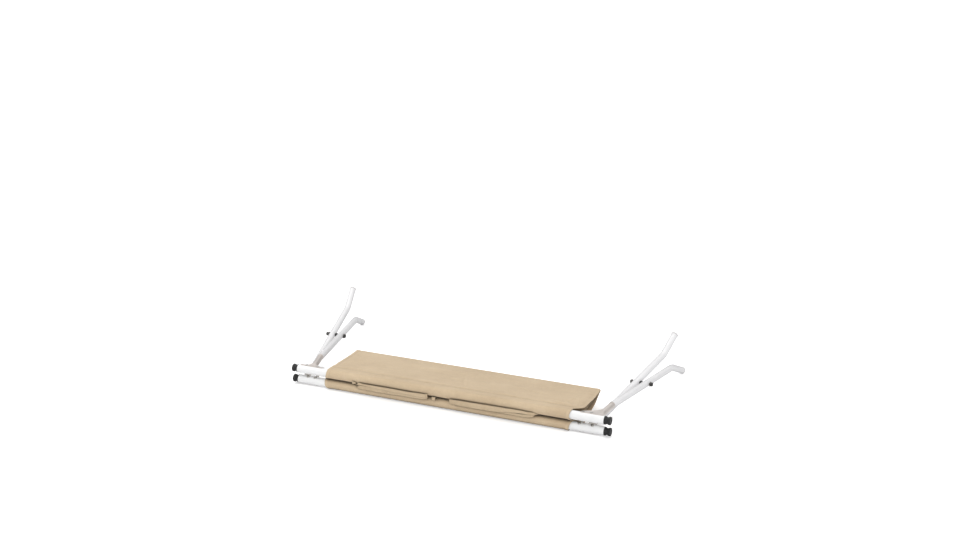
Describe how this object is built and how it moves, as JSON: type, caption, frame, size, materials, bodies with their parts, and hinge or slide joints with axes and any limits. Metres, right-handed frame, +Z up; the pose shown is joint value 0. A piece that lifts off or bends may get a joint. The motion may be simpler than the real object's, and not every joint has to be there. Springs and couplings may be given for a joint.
{
  "type": "folding stretcher",
  "caption": "Folded fabric stretcher bench: two parallel tube rails, crossed bent legs on pivot bolts at each end, canvas bed folded between, webbing carry handles.",
  "frame": {"origin": "on the floor under the middle of the folded set", "axes": "+X along the rails, +Y from the rails to the feet, +Z up through the stack of rails as the folded set lies on the floor"},
  "size_m": [1.2632, 0.5906, 0.1484],
  "materials": {
    "rail": "satin white",
    "leg": "satin white",
    "bracket": "bright",
    "zinc": "zinc plated",
    "black_steel": "black",
    "spacer": "matt",
    "end_cap": "satin",
    "foot_plug": "satin",
    "canvas": "plain weave",
    "webbing": "ribbed weave"
  },
  "bodies": {
    "lower_frame": {"lower_rail": "rail", "lower_rail_cap_left": "end_cap", "lower_rail_cap_right": "end_cap", "lower_leg_left": "leg", "lower_leg_right": "leg", "lower_foot_plug_left": "foot_plug", "lower_foot_plug_right": "foot_plug", "lower_bracket_left": "bracket", "lower_bracket_right": "bracket", "lower_bracket_bolts": "zinc", "lower_bracket_nuts": "zinc", "lower_leg_rivets": "zinc", "pivot_bolt_left": "black_steel", "pivot_bolt_right": "black_steel", "pivot_nut_left": "black_steel", "pivot_nut_right": "black_steel", "pivot_spacer_left": "spacer", "pivot_spacer_right": "spacer", "pivot_washers": "zinc"},
    "upper_frame": {"upper_rail": "rail", "upper_rail_cap_left": "end_cap", "upper_rail_cap_right": "end_cap", "upper_leg_left": "leg", "upper_leg_right": "leg", "upper_foot_plug_left": "foot_plug", "upper_foot_plug_right": "foot_plug", "upper_bracket_left": "bracket", "upper_bracket_right": "bracket", "upper_bracket_bolts": "zinc", "upper_bracket_nuts": "zinc", "upper_leg_rivets": "zinc"},
    "upper_canvas": {"upper_canvas": "canvas", "upper_canvas_fold": "canvas"},
    "lower_canvas": {"lower_canvas": "canvas", "lower_canvas_fold": "canvas"},
    "handle_left": {"carry_handle_left": "webbing"},
    "handle_right": {"carry_handle_right": "webbing"}
  },
  "joints": [
    {"name": "frame_fold", "type": "hinge", "parent": "lower_frame", "child": "upper_frame", "pos_m": [0, 0.02917, 0.05708], "axis": [-1, 0, 0], "range_deg": [0, 84.24]},
    {"name": "upper_canvas_swing", "type": "hinge", "parent": "upper_frame", "child": "upper_canvas", "pos_m": [0, -0.27838, 0.05465], "axis": [-1, 0, 0], "range_deg": [0, 43.35], "deforming": ["upper_canvas_fold"]},
    {"name": "lower_canvas_swing", "type": "hinge", "parent": "lower_frame", "child": "lower_canvas", "pos_m": [0, -0.27584, 0.01753], "axis": [1, 0, 0], "range_deg": [0, 43.35], "deforming": ["lower_canvas_fold"]},
    {"name": "handle_left_pull", "type": "slide", "parent": "lower_canvas", "child": "handle_left", "axis": [0, -0.9977, -0.0684], "range_m": [0, 0.035]},
    {"name": "handle_right_pull", "type": "slide", "parent": "lower_canvas", "child": "handle_right", "axis": [0, -0.9977, -0.0684], "range_m": [0, 0.035]}
  ],
  "couplings": [
    {"joint": "upper_canvas_swing", "follows": "frame_fold", "ratio": 0.51449},
    {"joint": "lower_canvas_swing", "follows": "frame_fold", "ratio": 0.51449}
  ]
}
